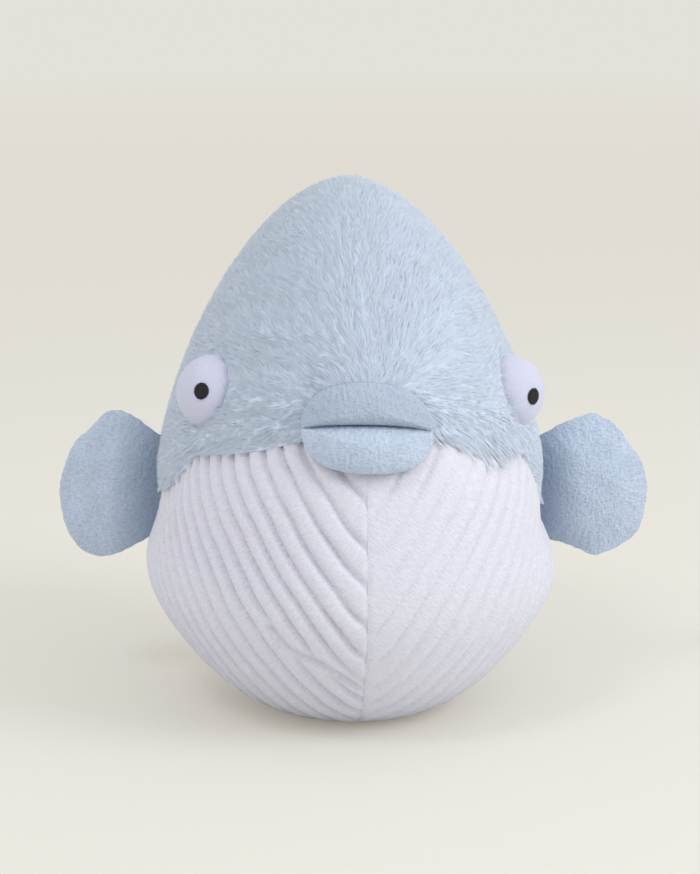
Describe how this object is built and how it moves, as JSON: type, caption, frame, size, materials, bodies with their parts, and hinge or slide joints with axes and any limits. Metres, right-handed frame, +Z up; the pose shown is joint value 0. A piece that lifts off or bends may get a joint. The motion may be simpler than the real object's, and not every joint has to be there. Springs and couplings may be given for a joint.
{
  "type": "plush puffer fish",
  "caption": "Stuffed toy fish: round fur body on a ribbed white belly, padded lips, domed eyes, and padded fins and tail that swing at their root seams.",
  "frame": {"origin": "on the floor, under the middle of the toy's box", "axes": "+Z up, -Y the way the toy looks, +X to the toy's own left"},
  "size_m": [0.319, 0.3037, 0.2815],
  "materials": {
    "fur": "pale blue long-pile plush fur, matt with a soft sheen",
    "ribbed_plush": "white plush in wide rounded ribs with a short pile",
    "short_plush": "dusty blue short-pile plush, matt",
    "eye_plush": "smooth white plush",
    "pupil_thread": "dark satin-stitched thread",
    "fibre_filling": "white polyester fibre",
    "bag_cloth": "plain unbleached cotton"
  },
  "bodies": {
    "torso": {"back_panel_left": "fur", "back_panel_right": "fur", "belly_panel_left": "ribbed_plush", "belly_panel_right": "ribbed_plush", "body_stuffing": "fibre_filling", "pellet_bag": "bag_cloth", "eye_cover_left": "eye_plush", "eye_cover_right": "eye_plush", "eye_padding_left": "fibre_filling", "eye_padding_right": "fibre_filling", "pupil_left": "pupil_thread", "pupil_right": "pupil_thread", "upper_lip_front": "short_plush", "upper_lip_back": "short_plush", "upper_lip_padding": "fibre_filling", "lower_lip_front": "short_plush", "lower_lip_back": "short_plush", "lower_lip_padding": "fibre_filling"},
    "left_fin": {"left_fin_front": "short_plush", "left_fin_back": "short_plush", "left_fin_padding": "fibre_filling"},
    "right_fin": {"right_fin_front": "short_plush", "right_fin_back": "short_plush", "right_fin_padding": "fibre_filling"},
    "tail": {"tail_front": "short_plush", "tail_back": "short_plush", "tail_padding": "fibre_filling"}
  },
  "joints": [
    {"name": "left_fin_flap", "type": "hinge", "parent": "torso", "child": "left_fin", "pos_m": [0.10889, -0.01281, 0.10725], "axis": [-0.1102, 0, 0.9939], "range_deg": [-35, 40], "stiffness_Nm_per_rad": 0.01},
    {"name": "right_fin_flap", "type": "hinge", "parent": "torso", "child": "right_fin", "pos_m": [-0.10798, -0.01281, 0.11326], "axis": [-0.112, 0, -0.9937], "range_deg": [-59, 16], "stiffness_Nm_per_rad": 0.01},
    {"name": "tail_sway", "type": "hinge", "parent": "torso", "child": "tail", "pos_m": [0, 0.10901, 0.12086], "axis": [0, 0.0605, 0.9982], "range_deg": [-30, 30], "stiffness_Nm_per_rad": 0.01}
  ]
}
